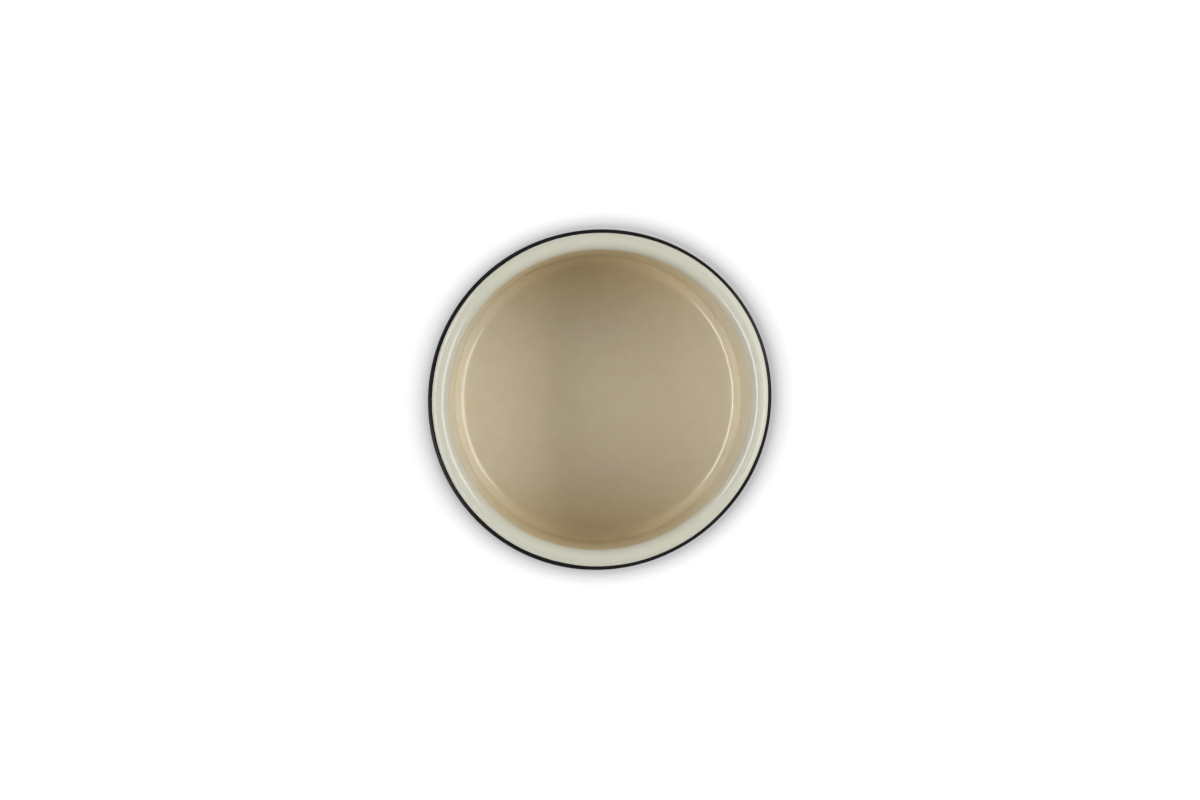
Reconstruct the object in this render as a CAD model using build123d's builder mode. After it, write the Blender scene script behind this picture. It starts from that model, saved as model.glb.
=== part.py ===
"""A round stoneware ramekin, turned about Z, standing on its bare foot ring.

The clay body carries three coats of glaze: one in the well and over the lip, one on the outside and one
under the base. Sizes are in millimetres and are measured over the glaze, apart from those named clay.
The origin is the centre of the foot ring, on the table, and +Z is the axis of the bowl.
"""

from build123d import *

import os
from math import cos, radians, sin, tan

# Overall sizes
rim_diameter = 94.0
height = 55.0

# The lip, a full round that carries both coats
lip_width = 5.7
black_edge_angle = 38.0  # from the crest of the lip, outwards

# The well, which narrows a little towards its floor
clay_floor_thickness = 5.7
well_draft = 0.65
floor_fillet = 3.6

# The collar band round the top of the outside
collar_height = 13.0
collar_step = 1.4
collar_slope = 40.0  # of the ledge under the collar, from the level
collar_edge_round = 1.4
collar_root_fillet = 1.2

# The outside wall below the collar, and the shoulder that it turns in on
wall_draft = 1.4
shoulder_height = 4.2
shoulder_round_share = 0.65
shoulder_root_share = 0.2

# The stacking foot, which drops into the mouth of another ramekin
stacking_clearance = 0.8
foot_ring_width = 3.4
foot_edge_round = 0.6

# The hollow under the base
recess_depth = 1.9
recess_draft = 20.0
recess_fillet = 0.9

# The glaze, wiped off the foot before firing
glaze_thickness = 0.4
glaze_toe_share = 0.75
bare_foot_height = 1.3
bare_recess_share = 0.45

# Places worked out from these sizes, as radius and height
rim_radius = rim_diameter / 2
lip_round = lip_width / 2
lip_centre = (rim_radius - lip_round, height - lip_round)
mouth_radius = rim_radius - lip_width
clay_floor = recess_depth + clay_floor_thickness
well_floor = clay_floor + glaze_thickness
well_floor_radius = mouth_radius - (lip_centre[1] - well_floor) * tan(radians(well_draft))

# The section of the clay, inside its glaze
clay_lip_round = lip_round - glaze_thickness
clay_rim_radius = rim_radius - glaze_thickness
clay_floor_radius = well_floor_radius + glaze_thickness
lip_inside = (
    lip_centre[0] - clay_lip_round * cos(radians(well_draft)),
    lip_centre[1] + clay_lip_round * sin(radians(well_draft)),
)
lip_outside = (clay_rim_radius, lip_centre[1])
collar_bottom = height - collar_height
ledge_drop = collar_step * tan(radians(collar_slope))
wall_top = (clay_rim_radius - collar_step, collar_bottom - ledge_drop)
wall_bottom = (
    wall_top[0] - (wall_top[1] - shoulder_height) * tan(radians(wall_draft)),
    shoulder_height,
)
foot_radius = mouth_radius - stacking_clearance - glaze_thickness
shoulder_width = wall_bottom[0] - foot_radius
foot_inner_radius = foot_radius - foot_ring_width
recess_radius = foot_inner_radius - recess_depth * tan(radians(recess_draft))

# The clay body
with BuildPart() as stoneware_body:
    with BuildSketch(Plane.XZ) as clay_section:
        with BuildLine():
            well_line = FilletPolyline(
                (0, clay_floor),
                (clay_floor_radius, clay_floor),
                lip_inside,
                radius=[floor_fillet + glaze_thickness],
            )
            CenterArc(lip_centre, clay_lip_round, 0, 180 - well_draft)
            outside_line = FilletPolyline(
                lip_outside,
                (clay_rim_radius, collar_bottom),
                wall_top,
                wall_bottom,
                (foot_radius, shoulder_height),
                (foot_radius, 0),
                (foot_inner_radius, 0),
                (recess_radius, recess_depth),
                (0, recess_depth),
                radius=[
                    collar_edge_round,
                    collar_root_fillet,
                    shoulder_width * shoulder_round_share,
                    shoulder_width * shoulder_root_share,
                    foot_edge_round,
                    foot_edge_round,
                    recess_fillet,
                ],
            )
            Line(outside_line @ 1, well_line @ 0)
        make_face()
    revolve(axis=Axis.Z)
stoneware_body.part.label = "stoneware_body"

# The coats meet at a line across the lip, and inside the clay at its heel, where floor and wall join
coat_reach = rim_radius + height
black_edge = (
    lip_centre[0] + coat_reach * sin(radians(black_edge_angle)),
    lip_centre[1] + coat_reach * cos(radians(black_edge_angle)),
)
heel = (clay_floor_radius, (shoulder_height + clay_floor) / 2)
base_middle = (0, (recess_depth + clay_floor) / 2)
foot_middle_radius = foot_radius - foot_ring_width / 2
foot_heel = (foot_middle_radius, heel[1])


def coat_section(region, toes=()):
    """The glaze over the part of the clay's section that a region holds, with its open toes rounded."""
    with BuildSketch(Plane.XZ) as section:
        add(clay_section.sketch_local)
        offset(amount=glaze_thickness)
        add(clay_section.sketch_local, mode=Mode.SUBTRACT)
        with BuildLine():
            Polyline(*region, close=True)
        make_face(mode=Mode.INTERSECT)
        for toe in toes:
            fillet(section.vertices().sort_by_distance(toe)[0], glaze_thickness * glaze_toe_share)
    return section


# The cream coat, over the floor, the wall of the well and the top of the lip
well_region = [base_middle, heel, lip_centre, black_edge, (0, black_edge[1])]
with BuildPart() as interior_glaze:
    add(coat_section(well_region).sketch)
    revolve(axis=Axis.Z)
interior_glaze.part.label = "interior_glaze"

# The black coat, from the outside of the lip down to its toe on the foot
outside_region = [
    black_edge,
    lip_centre,
    heel,
    foot_heel,
    (foot_middle_radius, bare_foot_height),
    (coat_reach, bare_foot_height),
]
with BuildPart() as exterior_glaze:
    add(coat_section(outside_region, [(foot_radius + glaze_thickness, bare_foot_height)]).sketch)
    revolve(axis=Axis.Z)
exterior_glaze.part.label = "exterior_glaze"

# The coat in the hollow under the base, with its toe on the inside of the foot
bare_recess_height = recess_depth * bare_recess_share
underside_region = [(0, bare_recess_height), (foot_middle_radius, bare_recess_height), foot_heel, base_middle]
recess_toe = (
    foot_inner_radius - glaze_thickness - bare_recess_height * tan(radians(recess_draft)),
    bare_recess_height,
)
with BuildPart() as underside_glaze:
    add(coat_section(underside_region, [recess_toe]).sketch)
    revolve(axis=Axis.Z)
underside_glaze.part.label = "underside_glaze"

os.makedirs("parts", exist_ok=True)
for piece in (stoneware_body, interior_glaze, exterior_glaze, underside_glaze):
    export_step(piece.part, f"parts/{piece.part.label}.step")
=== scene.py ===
"""A stoneware ramekin on a pale cove, lit by soft lights and seen from above.

The fired clay and its three coats of glaze are turned from one outline by a node tree. Sizes are in
metres, and the frame is the model's own: the foot stands on z = 0 and the bowl's axis is +Z.
"""

from math import atan2, ceil, cos, pi, radians, sin, tan

import bpy
from mathutils import Matrix, Vector


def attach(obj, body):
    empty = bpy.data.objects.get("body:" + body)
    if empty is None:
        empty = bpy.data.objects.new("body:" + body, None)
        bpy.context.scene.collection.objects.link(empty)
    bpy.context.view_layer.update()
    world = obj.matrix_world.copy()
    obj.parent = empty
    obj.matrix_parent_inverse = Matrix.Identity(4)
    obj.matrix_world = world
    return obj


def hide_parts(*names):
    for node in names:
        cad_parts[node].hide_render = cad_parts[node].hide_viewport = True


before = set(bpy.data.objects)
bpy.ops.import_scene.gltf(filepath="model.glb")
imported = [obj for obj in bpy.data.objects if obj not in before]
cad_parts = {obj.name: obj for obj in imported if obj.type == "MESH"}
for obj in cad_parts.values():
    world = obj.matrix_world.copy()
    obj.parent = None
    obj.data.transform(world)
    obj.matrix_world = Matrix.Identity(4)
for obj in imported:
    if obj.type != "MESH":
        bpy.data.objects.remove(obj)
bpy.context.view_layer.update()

MM = 0.001
UP = (0.0, 0.0, 1.0)
WHITE = (1, 1, 1, 1)

# Sizes of the dish, over its glaze apart from those of the clay
RIM_RADIUS = 47.0 * MM
HEIGHT = 55.0 * MM
LIP_WIDTH = 5.7 * MM
BLACK_EDGE = radians(38)
CLAY_FLOOR_THICKNESS = 5.7 * MM
WELL_DRAFT = radians(0.65)
FLOOR_FILLET = 3.6 * MM
COLLAR_HEIGHT = 13.0 * MM
COLLAR_STEP = 1.4 * MM
COLLAR_SLOPE = radians(40)
COLLAR_EDGE_ROUND = 1.4 * MM
COLLAR_ROOT_FILLET = 1.2 * MM
WALL_DRAFT = radians(1.4)
SHOULDER_HEIGHT = 4.2 * MM
SHOULDER_ROUND_SHARE = 0.65
SHOULDER_ROOT_SHARE = 0.2
STACKING_CLEARANCE = 0.8 * MM
FOOT_RING_WIDTH = 3.4 * MM
FOOT_EDGE_ROUND = 0.6 * MM
RECESS_DEPTH = 1.9 * MM
RECESS_DRAFT = radians(20)
RECESS_FILLET = 0.9 * MM
GLAZE = 0.4 * MM
BARE_FOOT_HEIGHT = 1.3 * MM
BARE_RECESS_SHARE = 0.45
WELL_FLOOR = RECESS_DEPTH + CLAY_FLOOR_THICKNESS + GLAZE

# How finely the outline is cut into rows, and the dish into turns
ROW = 1.3 * MM
ARC_ROW = 0.28 * MM
FILLET_ROW = 0.12 * MM
HIDDEN_ROW_SKIP = 3
TURNS = 300

# How close points lie that become one, and how far an edge bends before it is shaded sharp
WELD = 0.001 * MM
SHARP_EDGE = radians(38)

# How glaze ends: a rounded toe with a small roll of pooled glaze behind it, and a faint dip on the lip
TOE_LENGTH = 0.5 * MM
ROLL_HEIGHT_SHARE = 0.45
ROLL_PLACE = 0.9 * MM
ROLL_SPREAD = 0.6 * MM
SEAM_DIP_SHARE = 0.12
SEAM_SPREAD = 0.35 * MM
BELL_BASE = 2.718

# The kiln's marks: the mouth is drawn a little oval and a little three-cornered
OVAL_SHARE = 0.0105
OVAL_HEADING = radians(33)
OVAL_AT_FOOT_SHARE = 0.3
LOBES = 3.0
LOBE_SHARE = 0.0024
LOBE_HEADING = radians(15)

# The kiln's marks: the edge of the black wanders round the lip, and the glaze is faintly rippled
CREEP_REACH = radians(30)
CREEP_WANDER = radians(3.0)
CREEP_SCALE = 1.7
CREEP_DETAIL = 2.0
CREEP_SEED = 4.0
CREEP_LEAN = radians(3.0)
CREEP_LEAN_HEADING = radians(30)
RIPPLE_DEPTH = 0.012 * MM
RIPPLE_SIZE = 14.0 * MM

# Cream glaze: its colours, where the lip and the well of one glaze differ as painted light and shade, its
# gloss and its relief
CREAM_LIP_PAINTED_LIGHT = (0.428, 0.420, 0.348, 1)
CREAM_WELL_PAINTED_SHADE = (0.634, 0.568, 0.428, 1)
CREAM_PAINTED_WARM_SHADE = (0.664, 0.558, 0.361, 1)
CREAM_WARMER = {"Hue": 0.498, "Saturation": 1.06, "Value": 0.965}
CREAM_CLOUDS = (9.0 * MM, 3.0)
CREAM_MOTTLE = (3.2 * MM, 4.0, 0.6)
CREAM_MOTTLE_RANGE = (0.3, 0.75)
CREAM_ROUGHNESS = (0.035, 0.065)
CREAM_IOR = 1.52
CREAM_PEEL = (2.4 * MM, 2.0)
CREAM_PITS = (2.9 * MM, 0.03, 0.075)
CREAM_PIT_SHARE = 0.35
CREAM_RELIEF = 0.007 * MM

# Cream glaze: the heights between which it turns to the lip's colour of painted light, and how far clouds
# shift them
LIP_COLOUR_FROM = HEIGHT - 3.4 * MM
LIP_COLOUR_FULL = HEIGHT - 1.6 * MM
LIP_COLOUR_SHIFT = 1.2 * MM

# Cream glaze: how far to the front and back of the axis it turns to the warmer colour of painted shade,
# where the side lights leave the well darker
WARM_SHADE_FROM = 20.0 * MM
WARM_SHADE_FULL = 38.0 * MM

# Cream glaze: the heights between which the wall of the well gives way to the lip
WALL_UNTIL = HEIGHT - 2.6 * MM
WALL_GONE = HEIGHT - 1.4 * MM

# Cream glaze: the heights between which the wall turns smooth, then duller, then darker with painted
# shade
SMOOTH_FROM = WELL_FLOOR + 0.02 * MM
SMOOTH_FULL = WELL_FLOOR + 0.15 * MM
DULL_FROM = WELL_FLOOR + 1.6 * MM
DULL_FULL = WELL_FLOOR + 3.2 * MM
PAINTED_SHADE_FROM = WELL_FLOOR + 3.3 * MM
PAINTED_SHADE_FULL = WELL_FLOOR + 5.0 * MM
WALL_ADDED_ROUGHNESS = 0.2
WALL_PAINTED_SHADE_TONE = 0.82

# Cream glaze: how far from the axis the outside of the lip turns duller
OUTER_LIP_FROM = RIM_RADIUS - 2.9 * MM
OUTER_LIP_FULL = RIM_RADIUS - 1.2 * MM
OUTER_LIP_ADDED_ROUGHNESS = 0.4

# Black glaze
BLACK_OUTSIDE = (0.0065, 0.0065, 0.007, 1)
BLACK_BASE = (0.013, 0.012, 0.0125, 1)
BLACK_CLOUDED = (0.0095, 0.009, 0.0095, 1)
BLACK_CLOUDS = (6.0 * MM, 4.0, 0.55)
BLACK_CLOUDS_RANGE = (0.35, 0.7)
BLACK_ROUGHNESS = (0.10, 0.18)
BLACK_IOR = 1.5
BLACK_PEEL = (1.9 * MM, 2.0)
BLACK_PITS = (2.2 * MM, 0.03, 0.08)
BLACK_PIT_SHARE = 0.4
BLACK_RELIEF = 0.014 * MM

# Bare clay
CLAY_DARK = (0.50, 0.385, 0.26, 1)
CLAY_PALE = (0.58, 0.47, 0.335, 1)
CLAY_GRAIN = (0.21, 0.135, 0.085, 1)
CLAY_CLOUDS = (5.0 * MM, 5.0, 0.6)
CLAY_CLOUDS_RANGE = (0.3, 0.7)
CLAY_GRAINS = (0.8 * MM, 0.16, 0.24)
CLAY_ROUGHNESS = 0.82
CLAY_IOR = 1.45
CLAY_GRIT = (0.35 * MM, 3.0, 0.7)
WHEEL_LINE_SPACING = 0.55 * MM
WHEEL_LINE_SHARE = 0.18
CLAY_RELIEF = 0.05 * MM

# The cove: a flat floor, a round and a wall
COVE_RADIUS = 2.6
COVE_ROUND = 1.0
COVE_HEIGHT = 1.9
COVE_FIRST_RING = 0.4
COVE_ROUND_ROWS = 12
COVE_TURNS = 96

# The floor, and its glow, which sinks close to the dish in a slight oval as a painted contact shadow, and
# again far away
FLOOR_TONE = 0.2
FLOOR_ROUGHNESS = 0.9
FLOOR_GLOW = 0.925
PAINTED_SHADOW_DEPTH = 0.60
PAINTED_SHADOW_START = 50.0 * MM
PAINTED_SHADOW_LENGTH = 3.6 * MM
GLOW_CENTRE = Vector((1.05, -0.2)) * MM
GLOW_OVAL_SHARE = 0.0115
GLOW_HEADING = radians(42)
FAR_GLOW = 0.5
GLOW_FADE_START = 0.3
GLOW_FADE_END = 1.4

# The sky, which only gloss shows, and its two soft glows
SKY = 0.07
SKY_GLOW = 0.55
SKY_GLOW_TIGHTNESS = 20.0
SKY_GLOW_ELEVATION = radians(-17)
SKY_GLOW_HEADINGS = (radians(200), radians(20))

# The lights: heading and elevation in degrees, distance from their target, width and height, and radiance
TARGET_HEIGHT_SHARE = 0.6
SHINING_LIGHTS = {
    "left_box": (182, 48, 0.8, (1.8, 0.19), 2.51),
    "left_middle": (182, 48, 0.79, (0.9, 0.188), 5.13),
    "right_box": (5, 46, 0.8, (0.68, 0.42), 3.9),
}
FILL_LIGHTS = {
    "left_fill": (182, 46, 0.78, (0.7, 0.2), 1.1),
    "left_lower": (182, 30, 0.8, (1.2, 0.3), 1.08),
    "right_fill": (5, 36, 0.77, (0.9, 0.5), 2.93),
    "overhead": (90, 89, 1.3, (0.6, 0.59), 0.483),
}

# The camera, and how large the dish is in the photograph
PHOTO_WIDTH = 1200
DISH_RADIUS_PX = 171.1
CAMERA_HEIGHT = 1.0
CAMERA_SIDESTEP = Vector((-11.6, 6.0)) * MM
CAMERA_AIM = Vector((0.1, -0.15)) * MM
SENSOR_WIDTH = 36.0
CLIP_START = 0.01


class Row:
    """One point of the outline: its radius and height, and the way that the clay faces there."""

    def __init__(self, place, facing):
        self.place = Vector(place)
        self.facing = Vector(facing).normalized()


def straight(start, end):
    """Rows along a straight stretch, both ends included."""
    along = end - start
    facing = (-along.y, along.x)
    count = max(1, ceil(along.length / ROW))
    return [Row(start + along * i / count, facing) for i in range(count + 1)]


def arc(centre, radius, first, last, row=ARC_ROW):
    """Rows along an arc. Angles turn from the crest outwards, and a falling angle makes a hollow arc."""
    count = max(2, ceil(abs(last - first) * radius / row))
    sense = 1 if last > first else -1
    rows = []
    for i in range(count + 1):
        angle = first + (last - first) * i / count
        ray = Vector((sin(angle), cos(angle)))
        rows.append(Row(centre + ray * radius, ray * sense))
    return rows


def rounded(corners, rounds, row=ARC_ROW):
    """Rows along straight stretches whose inner corners are rounded."""
    corners = [Vector(corner) for corner in corners]
    rows = []
    last = corners[0]
    for before, corner, after, radius in zip(corners, corners[1:], corners[2:], rounds):
        back = (before - corner).normalized()
        onward = (after - corner).normalized()
        half = back.angle(onward) / 2
        start = corner + back * radius / tan(half)
        end = corner + onward * radius / tan(half)
        centre = corner + (back + onward).normalized() * radius / sin(half)
        first = atan2(start.x - centre.x, start.y - centre.y)
        turn = atan2(end.x - centre.x, end.y - centre.y) - first
        turn = (turn + pi) % (2 * pi) - pi
        rows += straight(last, start)[:-1] + arc(centre, radius, first, first + turn, row)[:-1]
        last = end
    return rows + straight(last, corners[-1])


def outline():
    """The clay's outline, from the middle of the well's floor over the lip to the middle of the base."""
    lip_round = LIP_WIDTH / 2
    clay_lip_round = lip_round - GLAZE
    lip_centre = Vector((RIM_RADIUS - lip_round, HEIGHT - lip_round))
    mouth_radius = RIM_RADIUS - LIP_WIDTH
    clay_floor = RECESS_DEPTH + CLAY_FLOOR_THICKNESS
    well_fall = lip_centre.y - clay_floor - GLAZE
    clay_floor_radius = mouth_radius - well_fall * tan(WELL_DRAFT) + GLAZE
    inside = WELL_DRAFT - pi / 2
    lip_inside = lip_centre + clay_lip_round * Vector((sin(inside), cos(inside)))

    clay_rim_radius = RIM_RADIUS - GLAZE
    collar_bottom = HEIGHT - COLLAR_HEIGHT
    ledge_drop = COLLAR_STEP * tan(COLLAR_SLOPE)
    wall_top = Vector((clay_rim_radius - COLLAR_STEP, collar_bottom - ledge_drop))
    wall_fall = wall_top.y - SHOULDER_HEIGHT
    wall_bottom = (wall_top.x - wall_fall * tan(WALL_DRAFT), SHOULDER_HEIGHT)
    foot_radius = mouth_radius - STACKING_CLEARANCE - GLAZE
    shoulder_width = wall_bottom[0] - foot_radius
    foot_inner_radius = foot_radius - FOOT_RING_WIDTH
    bare_recess = RECESS_DEPTH * BARE_RECESS_SHARE
    recess_end = (foot_inner_radius - bare_recess * tan(RECESS_DRAFT), bare_recess)
    recess_radius = foot_inner_radius - RECESS_DEPTH * tan(RECESS_DRAFT)

    return {
        "well": rounded(
            [(0, clay_floor), (clay_floor_radius, clay_floor), lip_inside],
            [FLOOR_FILLET + GLAZE],
            FILLET_ROW,
        ),
        "crest": arc(lip_centre, clay_lip_round, inside, BLACK_EDGE),
        "brow": arc(lip_centre, clay_lip_round, BLACK_EDGE, pi / 2),
        "outside": rounded(
            [
                (clay_rim_radius, lip_centre.y),
                (clay_rim_radius, collar_bottom),
                wall_top,
                wall_bottom,
                (foot_radius, SHOULDER_HEIGHT),
                (foot_radius, BARE_FOOT_HEIGHT),
            ],
            [
                COLLAR_EDGE_ROUND,
                COLLAR_ROOT_FILLET,
                shoulder_width * SHOULDER_ROUND_SHARE,
                shoulder_width * SHOULDER_ROOT_SHARE,
            ],
        ),
        "foot": rounded(
            [(foot_radius, BARE_FOOT_HEIGHT), (foot_radius, 0), (foot_inner_radius, 0), recess_end],
            [FOOT_EDGE_ROUND, FOOT_EDGE_ROUND],
        ),
        "base": rounded(
            [recess_end, (recess_radius, RECESS_DEPTH), (0, RECESS_DEPTH)],
            [RECESS_FILLET],
        ),
    }


def joined(*stretches):
    """Stretches of rows end to end, with the row that two of them share taken once."""
    rows = list(stretches[0])
    for stretch in stretches[1:]:
        rows += stretch[1:]
    return rows


def distances(rows):
    """How far each row lies along the outline from the first of them."""
    travelled = [0.0]
    for before, row in zip(rows, rows[1:]):
        travelled.append(travelled[-1] + (row.place - before.place).length)
    return travelled


def bell(distance, spread):
    """A bell curve that is 1 at no distance, and 1 / BELL_BASE at one spread."""
    return BELL_BASE ** (-((distance / spread) ** 2))


def glaze_depth(from_toe, from_seam):
    """The thickness of glaze at a row, from its distances to a toe on bare clay and to the lip's seam."""
    depth = 1.0
    if from_toe is not None:
        depth += ROLL_HEIGHT_SHARE * bell(from_toe - ROLL_PLACE, ROLL_SPREAD)
        if from_toe < TOE_LENGTH:
            depth *= (1 - (1 - from_toe / TOE_LENGTH) ** 2) ** 0.5
    if from_seam is not None:
        depth -= SEAM_DIP_SHARE * bell(from_seam, SEAM_SPREAD)
    return GLAZE * depth


def coat_section(rows, toe=None, seam=None):
    """The closed outline of a coat: out along its face and back along the clay.

    Its toe and its seam are at its "first" or its "last" row, or it has none.
    """
    travelled = distances(rows)
    to_last = [travelled[-1] - distance for distance in travelled]
    lengths = {"first": travelled, "last": to_last, None: [None] * len(rows)}
    face = []
    for row, to_toe, to_seam in zip(rows, lengths[toe], lengths[seam]):
        face.append((row.place + row.facing * glaze_depth(to_toe, to_seam), 1.0))
    hidden = rows[:-1:HIDDEN_ROW_SKIP] + rows[-1:]
    back = [(row.place, 0.0) for row in reversed(hidden)]
    return face + back


def node(tree, kind, inputs=None, **settings):
    """A node of a tree, with its settings made and its inputs linked or set by name or number."""
    made = tree.nodes.new(kind)
    for name, value in settings.items():
        setattr(made, name, value)
    for key, value in (inputs or {}).items():
        if isinstance(value, bpy.types.NodeSocket):
            tree.links.new(value, made.inputs[key])
        else:
            made.inputs[key].default_value = value
    return made


def sums(tree, operation, *values):
    """The result of a Math node."""
    return node(tree, "ShaderNodeMath", dict(enumerate(values)), operation=operation).outputs[0]


def vector(tree, x, y, z):
    """A vector put together from three numbers."""
    return node(tree, "ShaderNodeCombineXYZ", {"X": x, "Y": y, "Z": z}).outputs[0]


def length(tree, place):
    """The length of a vector."""
    return node(tree, "ShaderNodeVectorMath", {0: place}, operation="LENGTH").outputs["Value"]


def swung(tree, place, axis, angle, centre=(0.0, 0.0, 0.0)):
    """A place, swung by an angle about an axis through a centre."""
    return node(
        tree, "ShaderNodeVectorRotate",
        {"Vector": place, "Center": centre, "Axis": axis, "Angle": angle},
        rotation_type="AXIS_ANGLE",
    ).outputs[0]


def stepped(tree, value, low, high):
    """A value stretched so that low becomes 0 and high becomes 1, with soft ends."""
    return node(
        tree, "ShaderNodeMapRange", {"Value": value, "From Min": low, "From Max": high},
        interpolation_type="SMOOTHSTEP",
    ).outputs[0]


def lump(tree, place, scale, detail=0.0):
    """Smooth noise at a place, from about -1 to 1."""
    field = node(tree, "ShaderNodeTexNoise", {"Vector": place, "Scale": scale, "Detail": detail})
    return sums(tree, "MULTIPLY_ADD", field.outputs[0], 4.0, -2.0)


TREE_INPUTS = {
    "Turns": ("NodeSocketInt", TURNS),
    "Lip Radius": ("NodeSocketFloat", RIM_RADIUS - LIP_WIDTH / 2),
    "Lip Height": ("NodeSocketFloat", HEIGHT - LIP_WIDTH / 2),
    "Seam Angle": ("NodeSocketFloat", BLACK_EDGE),
    "Creep Reach": ("NodeSocketFloat", CREEP_REACH),
    "Creep Wander": ("NodeSocketFloat", CREEP_WANDER),
    "Creep Lean": ("NodeSocketFloat", CREEP_LEAN),
    "Creep Lean Heading": ("NodeSocketFloat", CREEP_LEAN_HEADING),
    "Creep Seed": ("NodeSocketFloat", CREEP_SEED),
    "Ripple Depth": ("NodeSocketFloat", RIPPLE_DEPTH),
    "Ripple Size": ("NodeSocketFloat", RIPPLE_SIZE),
    "Oval Share": ("NodeSocketFloat", OVAL_SHARE),
    "Oval Heading": ("NodeSocketFloat", OVAL_HEADING),
    "Oval At Foot Share": ("NodeSocketFloat", OVAL_AT_FOOT_SHARE),
    "Lobe Share": ("NodeSocketFloat", LOBE_SHARE),
    "Lobe From Oval": ("NodeSocketFloat", LOBE_HEADING - OVAL_HEADING),
    "Dish Height": ("NodeSocketFloat", HEIGHT),
    "Finish": ("NodeSocketMaterial", None),
}


def sampled_row(tree, section, rows, grid_place):
    """The section's point that a row of the grid stands for, and how much it is of the glaze's face."""
    across = sums(tree, "ADD", grid_place.outputs["Y"], 0.5)
    last = sums(tree, "SUBTRACT", rows, 1.0)
    row = sums(tree, "ROUND", sums(tree, "MULTIPLY", across, last))
    here = node(tree, "GeometryNodeInputPosition").outputs[0]
    face = node(tree, "GeometryNodeInputNamedAttribute", {"Name": "face"}, data_type="FLOAT").outputs[0]
    place = node(
        tree, "GeometryNodeSampleIndex", {"Geometry": section, "Value": here, "Index": row},
        data_type="FLOAT_VECTOR", domain="POINT",
    )
    shown = node(
        tree, "GeometryNodeSampleIndex", {"Geometry": section, "Value": face, "Index": row},
        data_type="FLOAT", domain="POINT",
    )
    return place.outputs[0], shown.outputs[0]


def crept(tree, given, place, around):
    """The section's point, swung about the lip's centre where it lies near the seam of two coats."""
    split = node(tree, "ShaderNodeSeparateXYZ", {0: place})
    out = sums(tree, "SUBTRACT", split.outputs["X"], given["Lip Radius"])
    up = sums(tree, "SUBTRACT", split.outputs["Z"], given["Lip Height"])
    from_crest = sums(tree, "ARCTAN2", out, up)
    from_seam = sums(tree, "ABSOLUTE", sums(tree, "SUBTRACT", from_crest, given["Seam Angle"]))
    far = stepped(tree, from_seam, 0.0, given["Creep Reach"])
    near = sums(tree, "SUBTRACT", 1.0, far)
    above = sums(tree, "GREATER_THAN", split.outputs["Z"], given["Lip Height"])
    ring = vector(tree, sums(tree, "COSINE", around), sums(tree, "SINE", around), given["Creep Seed"])
    wander = sums(tree, "MULTIPLY", lump(tree, ring, CREEP_SCALE, CREEP_DETAIL), given["Creep Wander"])
    lean = sums(tree, "COSINE", sums(tree, "SUBTRACT", around, given["Creep Lean Heading"]))
    swing = sums(tree, "MULTIPLY_ADD", lean, given["Creep Lean"], wander)
    turn = sums(tree, "MULTIPLY", sums(tree, "MULTIPLY", swing, near), above)
    centre = vector(tree, given["Lip Radius"], 0.0, given["Lip Height"])
    return swung(tree, place, (0.0, 1.0, 0.0), turn, centre)


def turned(tree, place, around):
    """The section's point, swung round the axis of the dish."""
    split = node(tree, "ShaderNodeSeparateXYZ", {0: place})
    radius, height = split.outputs["X"], split.outputs["Z"]
    x = sums(tree, "MULTIPLY", radius, sums(tree, "COSINE", around))
    y = sums(tree, "MULTIPLY", radius, sums(tree, "SINE", around))
    return vector(tree, x, y, height)


def drawn_oval(tree, given, mesh):
    """The mesh, drawn a little oval and a little three-cornered, most at the lip."""
    here = node(tree, "GeometryNodeInputPosition").outputs[0]
    back = sums(tree, "MULTIPLY", given["Oval Heading"], -1.0)
    split = node(tree, "ShaderNodeSeparateXYZ", {0: swung(tree, here, UP, back)})
    rise = sums(tree, "DIVIDE", split.outputs["Z"], given["Dish Height"])
    gain = sums(tree, "SUBTRACT", 1.0, given["Oval At Foot Share"])
    grown = sums(tree, "MULTIPLY_ADD", rise, gain, given["Oval At Foot Share"])
    share = sums(tree, "MULTIPLY", given["Oval Share"], grown)
    around = sums(tree, "ARCTAN2", split.outputs["Y"], split.outputs["X"])
    from_lobe = sums(tree, "SUBTRACT", around, given["Lobe From Oval"])
    corner = sums(tree, "COSINE", sums(tree, "MULTIPLY", from_lobe, LOBES))
    pulled = sums(tree, "MULTIPLY_ADD", sums(tree, "MULTIPLY", corner, grown), given["Lobe Share"], 1.0)
    x = sums(tree, "MULTIPLY", split.outputs["X"], sums(tree, "ADD", pulled, share))
    y = sums(tree, "MULTIPLY", split.outputs["Y"], sums(tree, "SUBTRACT", pulled, share))
    oval = swung(tree, vector(tree, x, y, split.outputs["Z"]), UP, given["Oval Heading"])
    return node(tree, "GeometryNodeSetPosition", {"Geometry": mesh, "Position": oval}).outputs[0]


def rippled(tree, given, mesh):
    """The mesh, with faint ripples on the faces of its glaze."""
    here = node(tree, "GeometryNodeInputPosition").outputs[0]
    normal = node(tree, "GeometryNodeInputNormal").outputs[0]
    face = node(tree, "GeometryNodeInputNamedAttribute", {"Name": "face"}, data_type="FLOAT").outputs[0]
    swell = lump(tree, here, sums(tree, "DIVIDE", 1.0, given["Ripple Size"]))
    depth = sums(tree, "MULTIPLY", sums(tree, "MULTIPLY", swell, given["Ripple Depth"]), face)
    shift = node(tree, "ShaderNodeVectorMath", {0: normal, "Scale": depth}, operation="SCALE").outputs[0]
    return node(tree, "GeometryNodeSetPosition", {"Geometry": mesh, "Offset": shift}).outputs[0]


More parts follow.
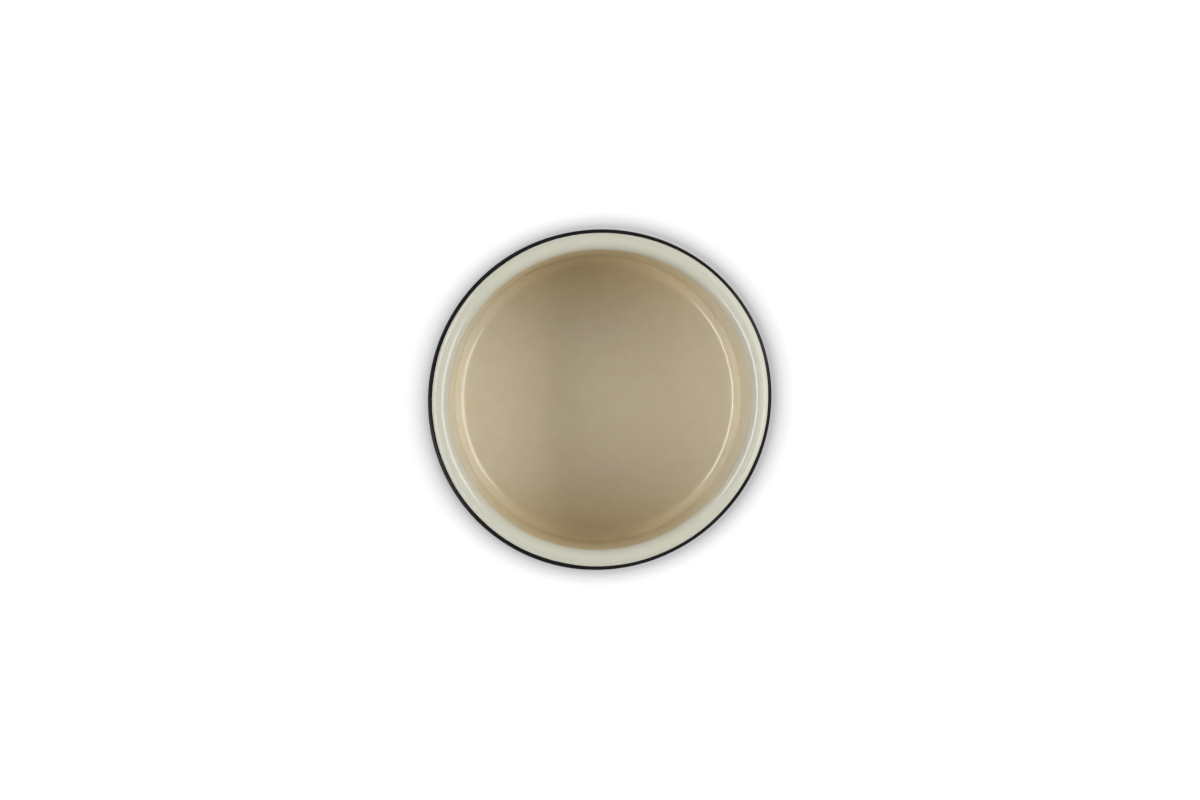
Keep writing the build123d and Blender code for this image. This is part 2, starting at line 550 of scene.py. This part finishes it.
def smoothed(tree, mesh):
    """The mesh, shaded smooth apart from its sharp edges."""
    bend = node(tree, "GeometryNodeInputMeshEdgeAngle").outputs["Unsigned Angle"]
    sharp = sums(tree, "GREATER_THAN", bend, SHARP_EDGE)
    soft = node(
        tree, "GeometryNodeSetShadeSmooth", {"Geometry": mesh, "Shade Smooth": True}, domain="FACE"
    )
    edged = node(
        tree, "GeometryNodeSetShadeSmooth",
        {"Geometry": soft.outputs[0], "Selection": sharp, "Shade Smooth": False}, domain="EDGE",
    )
    return edged.outputs[0]


def turning_tree():
    """A node tree that turns a section about Z, and gives it the kiln's marks and its finish."""
    tree = bpy.data.node_groups.new("Turned stoneware", "GeometryNodeTree")
    tree.interface.new_socket("Geometry", in_out="INPUT", socket_type="NodeSocketGeometry")
    for name, (kind, value) in TREE_INPUTS.items():
        socket = tree.interface.new_socket(name, in_out="INPUT", socket_type=kind)
        if value is not None:
            socket.default_value = value
    tree.interface.new_socket("Geometry", in_out="OUTPUT", socket_type="NodeSocketGeometry")
    given = node(tree, "NodeGroupInput").outputs
    section = given["Geometry"]

    counted = node(tree, "GeometryNodeAttributeDomainSize", {0: section}, component="MESH")
    rows = counted.outputs["Point Count"]
    columns = sums(tree, "ADD", given["Turns"], 1.0)
    grid = node(
        tree, "GeometryNodeMeshGrid",
        {"Size X": 1.0, "Size Y": 1.0, "Vertices X": columns, "Vertices Y": rows},
    ).outputs["Mesh"]
    here = node(tree, "GeometryNodeInputPosition").outputs[0]
    on_grid = node(tree, "ShaderNodeSeparateXYZ", {0: here})
    around = sums(tree, "MULTIPLY", sums(tree, "ADD", on_grid.outputs["X"], 0.5), -2 * pi)
    place, face = sampled_row(tree, section, rows, on_grid)
    marked = node(
        tree, "GeometryNodeStoreNamedAttribute", {"Geometry": grid, "Name": "face", "Value": face},
        data_type="FLOAT", domain="POINT",
    ).outputs[0]
    swept = turned(tree, crept(tree, given, place, around), around)
    bowl = node(tree, "GeometryNodeSetPosition", {"Geometry": marked, "Position": swept}).outputs[0]
    closed = node(tree, "GeometryNodeMergeByDistance", {"Geometry": bowl, "Distance": WELD}).outputs[0]
    shaped = smoothed(tree, drawn_oval(tree, given, rippled(tree, given, closed)))

    real = node(tree, "GeometryNodeRealizeInstances", {"Geometry": shaped})
    finished = node(
        tree, "GeometryNodeSetMaterial", {"Geometry": real.outputs[0], "Material": given["Finish"]}
    )
    ending = node(tree, "NodeGroupOutput")
    tree.links.new(finished.outputs[0], ending.inputs[0])
    return tree


def turn_piece(name, section, tree, finish):
    """A plain mesh object of a section, turned by the tree and given its finish."""
    drawn = bpy.data.meshes.new(name + "_section")
    points = [(place.x, 0.0, place.y) for place, shown in section]
    drawn.from_pydata(points, [(i, i + 1) for i in range(len(points) - 1)], [])
    face = drawn.attributes.new("face", "FLOAT", "POINT")
    face.data.foreach_set("value", [shown for place, shown in section])
    piece = bpy.data.objects.new(name, drawn)
    bpy.context.scene.collection.objects.link(piece)
    wheel = piece.modifiers.new("Wheel", "NODES")
    wheel.node_group = tree
    sockets = {item.name: item for item in tree.interface.items_tree if item.in_out == "INPUT"}
    wheel[sockets["Finish"].identifier] = finish
    evaluated = piece.evaluated_get(bpy.context.evaluated_depsgraph_get())
    solid = bpy.data.meshes.new_from_object(evaluated)
    piece.modifiers.remove(wheel)
    piece.data = solid
    solid.name = name
    bpy.data.meshes.remove(drawn)
    if "face" in solid.attributes:
        solid.attributes.remove(solid.attributes["face"])
    return piece


def blank_material(name):
    """A material with an empty tree, and its tree."""
    material = bpy.data.materials.new(name)
    material.use_nodes = True
    material.node_tree.nodes.clear()
    return material, material.node_tree


def skinned(tree, settings):
    """Ends a material's tree in a shader with these settings."""
    skin = node(tree, "ShaderNodeBsdfPrincipled", settings)
    node(tree, "ShaderNodeOutputMaterial", {"Surface": skin.outputs[0]})


def blended(tree, share, first, second):
    """A colour that goes from the first to the second as the share goes from 0 to 1."""
    mix = node(tree, "ShaderNodeMix", data_type="RGBA")
    for socket, value in (("Factor_Float", share), ("A_Color", first), ("B_Color", second)):
        target = next(s for s in mix.inputs if s.identifier == socket)
        if isinstance(value, bpy.types.NodeSocket):
            tree.links.new(value, target)
        else:
            target.default_value = value
    return next(s for s in mix.outputs if s.identifier == "Result_Color")


def spread(tree, value, low, high):
    """A value from 0 to 1, moved to lie from low to high."""
    return node(tree, "ShaderNodeMapRange", {"Value": value, "To Min": low, "To Max": high}).outputs[0]


def clouds(tree, place, size, detail=2.0, roughness=0.5):
    """Smooth noise at a place, from 0 to 1, whose size is in metres."""
    return node(
        tree, "ShaderNodeTexNoise",
        {"Vector": place, "Scale": 1 / size, "Detail": detail, "Roughness": roughness},
    ).outputs["Fac"]


def pits(tree, place, spacing, begins, ends):
    """Round pits at a place, from 0 in each to 1 outside it, with shares of the spacing for its rim."""
    cells = node(tree, "ShaderNodeTexVoronoi", {"Vector": place, "Scale": 1 / spacing})
    return stepped(tree, cells.outputs["Distance"], begins, ends)


def bumped(tree, height, distance):
    """A surface normal that follows a height, given in metres at a height of 1."""
    return node(tree, "ShaderNodeBump", {"Height": height, "Distance": distance}).outputs[0]


def from_axis(tree, split):
    """How far a place, split into its parts, lies from the axis of the dish."""
    return length(tree, vector(tree, split.outputs["X"], split.outputs["Y"], 0.0))


def cream_colour(tree, place, split, cloud):
    """Painted light and shade on one glaze: cool and darker on the lip, lighter and warmer in the well,
    and warmest to its front and back as painted shade, with a faint mottle.
    """
    shift = sums(tree, "SUBTRACT", cloud, 0.5)
    shifted = sums(tree, "MULTIPLY_ADD", shift, LIP_COLOUR_SHIFT, split.outputs["Z"])
    # Painted light and shade: the lip turns to a cooler, darker colour than the well's lighter, warmer
    # one
    lip_light_share = stepped(tree, shifted, LIP_COLOUR_FROM, LIP_COLOUR_FULL)
    # Painted shade: the well turns warmer to its front and back, away from the side lights
    warm_shade = stepped(tree, sums(tree, "ABSOLUTE", split.outputs["Y"]), WARM_SHADE_FROM, WARM_SHADE_FULL)
    colour = blended(tree, lip_light_share, blended(tree, warm_shade, CREAM_WELL_PAINTED_SHADE, CREAM_PAINTED_WARM_SHADE), CREAM_LIP_PAINTED_LIGHT)
    mottle = stepped(tree, clouds(tree, place, *CREAM_MOTTLE), *CREAM_MOTTLE_RANGE)
    warmer = node(tree, "ShaderNodeHueSaturation", {**CREAM_WARMER, "Color": colour}).outputs[0]
    return blended(tree, mottle, colour, warmer)


def cream_glaze():
    """Cream glaze: glassy, with a slight orange peel, but smooth, dull and darkened by painted shade up
    the well's wall.
    """
    material, tree = blank_material("cream_glaze")
    place = node(tree, "ShaderNodeTexCoord").outputs["Object"]
    split = node(tree, "ShaderNodeSeparateXYZ", {0: place})
    rise = split.outputs["Z"]
    cloud = clouds(tree, place, *CREAM_CLOUDS)
    below_lip = stepped(tree, rise, WALL_GONE, WALL_UNTIL)
    smooth, dull, painted_wall_shade = (
        sums(tree, "MULTIPLY", stepped(tree, rise, begins, ends), below_lip)
        for begins, ends in (
            (SMOOTH_FROM, SMOOTH_FULL),
            (DULL_FROM, DULL_FULL),
            (PAINTED_SHADE_FROM, PAINTED_SHADE_FULL),
        )
    )

    # Painted shade: the well's wall is darkened from just above the floor up to the lip
    tone = sums(tree, "MULTIPLY_ADD", painted_wall_shade, WALL_PAINTED_SHADE_TONE - 1.0, 1.0)
    colour = cream_colour(tree, place, split, cloud)
    shade_painted_colour = node(tree, "ShaderNodeHueSaturation", {"Value": tone, "Color": colour}).outputs[0]

    outer = stepped(tree, from_axis(tree, split), OUTER_LIP_FROM, OUTER_LIP_FULL)
    glassy = spread(tree, cloud, *CREAM_ROUGHNESS)
    rough = sums(tree, "MULTIPLY_ADD", outer, OUTER_LIP_ADDED_ROUGHNESS, glassy)
    rough = sums(tree, "MULTIPLY_ADD", dull, WALL_ADDED_ROUGHNESS, rough)

    pitting = pits(tree, place, *CREAM_PITS)
    relief = sums(tree, "MULTIPLY_ADD", pitting, CREAM_PIT_SHARE, clouds(tree, place, *CREAM_PEEL))
    height = sums(tree, "MULTIPLY", relief, sums(tree, "SUBTRACT", 1.0, smooth))
    normal = bumped(tree, height, CREAM_RELIEF)
    skinned(tree, {"Base Color": shade_painted_colour, "Roughness": rough, "IOR": CREAM_IOR, "Normal": normal})
    return material


def black_glaze(name, tone):
    """Black glaze, glossy and faintly clouded, with a slight orange peel and fine pits."""
    material, tree = blank_material(name)
    place = node(tree, "ShaderNodeTexCoord").outputs["Object"]
    cloud = clouds(tree, place, *BLACK_CLOUDS)
    colour = blended(tree, stepped(tree, cloud, *BLACK_CLOUDS_RANGE), tone, BLACK_CLOUDED)
    rough = spread(tree, cloud, *BLACK_ROUGHNESS)
    pitting = pits(tree, place, *BLACK_PITS)
    relief = sums(tree, "MULTIPLY_ADD", pitting, BLACK_PIT_SHARE, clouds(tree, place, *BLACK_PEEL))
    normal = bumped(tree, relief, BLACK_RELIEF)
    skinned(tree, {"Base Color": colour, "Roughness": rough, "IOR": BLACK_IOR, "Normal": normal})
    return material


def bare_clay():
    """Fired stoneware with no glaze: warm buff and gritty, with dark grains and the wheel's lines."""
    material, tree = blank_material("bare_clay")
    place = node(tree, "ShaderNodeTexCoord").outputs["Object"]
    split = node(tree, "ShaderNodeSeparateXYZ", {0: place})
    cloud = stepped(tree, clouds(tree, place, *CLAY_CLOUDS), *CLAY_CLOUDS_RANGE)
    buff = blended(tree, cloud, CLAY_DARK, CLAY_PALE)
    colour = blended(tree, pits(tree, place, *CLAY_GRAINS), CLAY_GRAIN, buff)
    phase = sums(tree, "MULTIPLY", from_axis(tree, split), 2 * pi / WHEEL_LINE_SPACING)
    lines = sums(tree, "SINE", phase)
    relief = sums(tree, "MULTIPLY_ADD", lines, WHEEL_LINE_SHARE, clouds(tree, place, *CLAY_GRIT))
    normal = bumped(tree, relief, CLAY_RELIEF)
    skinned(tree, {"Base Color": colour, "Roughness": CLAY_ROUGHNESS, "IOR": CLAY_IOR, "Normal": normal})
    return material


def make_dish():
    """The fired clay and its three coats, in place of the plain solids."""
    lines = outline()
    tree = turning_tree()
    order = ("well", "crest", "brow", "outside", "foot", "base")
    whole = joined(*(lines[stretch] for stretch in order))
    clay = [(row.place, 0.0) for row in whole]
    well_coat = coat_section(joined(lines["well"], lines["crest"]), seam="last")
    outside_coat = coat_section(joined(lines["brow"], lines["outside"]), toe="last", seam="first")
    base_coat = coat_section(lines["base"], toe="first")
    outside_ring = outside_coat + outside_coat[:1]
    buff = bare_clay()
    cream = cream_glaze()
    outside_black = black_glaze("black_glaze", BLACK_OUTSIDE)
    base_black = black_glaze("base_glaze", BLACK_BASE)
    pieces = [
        ("clay_dish", clay, buff, "clay", "stoneware_body"),
        ("cream_coat", well_coat, cream, "cream_glaze", "interior_glaze"),
        ("black_coat", outside_ring, outside_black, "black_glaze", "exterior_glaze"),
        ("base_coat", base_coat, base_black, "base_glaze", "underside_glaze"),
    ]
    for name, section, finish, slot, solid in pieces:
        piece = turn_piece(name, section, tree, finish)
        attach(piece, "root")
        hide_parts(solid)


def pale_floor():
    """The floor's material: it glows, less so close to the dish, where a contact shadow is painted, and
    far away.
    """
    material, tree = blank_material("pale_floor")
    place = node(tree, "ShaderNodeTexCoord").outputs["Object"]
    middle = (GLOW_CENTRE.x, GLOW_CENTRE.y, 0.0)
    offset = node(tree, "ShaderNodeVectorMath", {0: place, 1: middle}, operation="SUBTRACT").outputs[0]
    lined = swung(tree, offset, UP, -GLOW_HEADING)
    drawn = (1 - GLOW_OVAL_SHARE, 1 + GLOW_OVAL_SHARE, 1.0)
    squared = node(tree, "ShaderNodeVectorMath", {0: lined, 1: drawn}, operation="MULTIPLY").outputs[0]
    from_dish = length(tree, squared)
    # Painted shadow: the glow sinks close to the dish as a soft contact shadow
    reach = sums(tree, "DIVIDE", sums(tree, "SUBTRACT", PAINTED_SHADOW_START, from_dish), PAINTED_SHADOW_LENGTH)
    painted_shadow = sums(tree, "MINIMUM", sums(tree, "EXPONENT", reach), 1.0)
    glow_with_painted_shadow = sums(tree, "MULTIPLY_ADD", painted_shadow, -PAINTED_SHADOW_DEPTH, FLOOR_GLOW)
    fading = stepped(tree, from_dish, GLOW_FADE_START, GLOW_FADE_END)
    glow = sums(tree, "MULTIPLY_ADD", fading, FAR_GLOW - FLOOR_GLOW, glow_with_painted_shadow)
    tone = (FLOOR_TONE, FLOOR_TONE, FLOOR_TONE, 1)
    skinned(
        tree,
        {
            "Base Color": tone, "Roughness": FLOOR_ROUGHNESS,
            "Emission Color": WHITE, "Emission Strength": glow,
        },
    )
    return material


def make_cove():
    """A pale floor that sweeps up into a wall all round, and that no gloss shows."""
    flat_radius = COVE_RADIUS - COVE_ROUND
    rings = [(COVE_FIRST_RING, 0.0), (flat_radius, 0.0)]
    for i in range(1, COVE_ROUND_ROWS + 1):
        angle = pi / 2 * i / COVE_ROUND_ROWS
        rings.append((flat_radius + COVE_ROUND * sin(angle), COVE_ROUND - COVE_ROUND * cos(angle)))
    rings.append((COVE_RADIUS, COVE_HEIGHT))
    points = [(0.0, 0.0, 0.0)]
    for radius, height in rings:
        for i in range(COVE_TURNS):
            angle = 2 * pi * i / COVE_TURNS
            points.append((radius * cos(angle), radius * sin(angle), height))
    faces = [(0, 1 + i, 1 + (i + 1) % COVE_TURNS) for i in range(COVE_TURNS)]
    for ring in range(len(rings) - 1):
        inner = 1 + ring * COVE_TURNS
        outer = inner + COVE_TURNS
        for i in range(COVE_TURNS):
            after = (i + 1) % COVE_TURNS
            faces.append((inner + i, outer + i, outer + after, inner + after))
    mesh = bpy.data.meshes.new("cove")
    mesh.from_pydata(points, [], faces)
    mesh.polygons.foreach_set("use_smooth", [True] * len(mesh.polygons))
    mesh.materials.append(pale_floor())
    cove = bpy.data.objects.new("cove", mesh)
    bpy.context.scene.collection.objects.link(cove)
    cove.visible_glossy = False


def soft_light(name, heading, elevation, distance, size, brightness, shines):
    """A soft light that faces the dish. Its size is width by height, and brightness is its radiance."""
    heading, elevation = radians(heading), radians(elevation)
    ray = Vector((cos(elevation) * cos(heading), cos(elevation) * sin(heading), sin(elevation)))
    lamp = bpy.data.lights.new(name, "AREA")
    lamp.shape = "RECTANGLE"
    lamp.size, lamp.size_y = size
    lamp.energy = brightness * pi * size[0] * size[1]
    light = bpy.data.objects.new(name, lamp)
    light.location = Vector((0, 0, HEIGHT * TARGET_HEIGHT_SHARE)) + ray * distance
    light.rotation_euler = (-ray).to_track_quat("-Z", "Y").to_euler()
    light.visible_camera = False
    light.visible_glossy = shines
    bpy.context.scene.collection.objects.link(light)


def make_lights():
    """Soft boxes to the left and right that the gloss shows, and fill lights that it doesn't."""
    for lights, shines in ((SHINING_LIGHTS, True), (FILL_LIGHTS, False)):
        for name, settings in lights.items():
            soft_light(name, *settings, shines)


def make_sky():
    """A dim sky that only gloss shows, with a soft glow low on each side for black glaze to mirror."""
    sky = bpy.data.worlds.new("sky")
    sky.use_nodes = True
    tree = sky.node_tree
    look = node(tree, "ShaderNodeTexCoord").outputs["Generated"]
    level = cos(SKY_GLOW_ELEVATION)
    strength = SKY
    for heading in SKY_GLOW_HEADINGS:
        ray = (level * cos(heading), level * sin(heading), sin(SKY_GLOW_ELEVATION))
        facing = node(tree, "ShaderNodeVectorMath", {0: look, 1: ray}, operation="DOT_PRODUCT")
        away = sums(tree, "SUBTRACT", facing.outputs["Value"], 1.0)
        glow = sums(tree, "EXPONENT", sums(tree, "MULTIPLY", away, SKY_GLOW_TIGHTNESS))
        strength = sums(tree, "MULTIPLY_ADD", glow, SKY_GLOW, strength)
    background = tree.nodes["Background"]
    background.inputs["Color"].default_value = WHITE
    tree.links.new(strength, background.inputs["Strength"])
    bpy.context.scene.world = sky
    sky.cycles_visibility.diffuse = False


def make_camera():
    """The photograph's camera: overhead, a little to the left and back, with the dish in the middle."""
    widest = HEIGHT - LIP_WIDTH / 2
    lens = bpy.data.cameras.new("camera")
    lens.sensor_width = SENSOR_WIDTH
    away = CAMERA_HEIGHT + HEIGHT - widest
    lens.lens = DISH_RADIUS_PX * away / RIM_RADIUS * SENSOR_WIDTH / PHOTO_WIDTH
    lens.clip_start = CLIP_START
    camera = bpy.data.objects.new("camera", lens)
    camera.location = (CAMERA_SIDESTEP.x, CAMERA_SIDESTEP.y, HEIGHT + CAMERA_HEIGHT)
    forward = (Vector((CAMERA_AIM.x, CAMERA_AIM.y, HEIGHT)) - camera.location).normalized()
    right = forward.cross(Vector((0, 1, 0))).normalized()
    upward = right.cross(forward)
    camera.rotation_euler = Matrix((right, upward, -forward)).transposed().to_euler()
    bpy.context.scene.collection.objects.link(camera)
    bpy.context.scene.camera = camera


make_dish()
make_cove()
make_lights()
make_sky()
make_camera()
bpy.context.scene.view_settings.view_transform = "Standard"
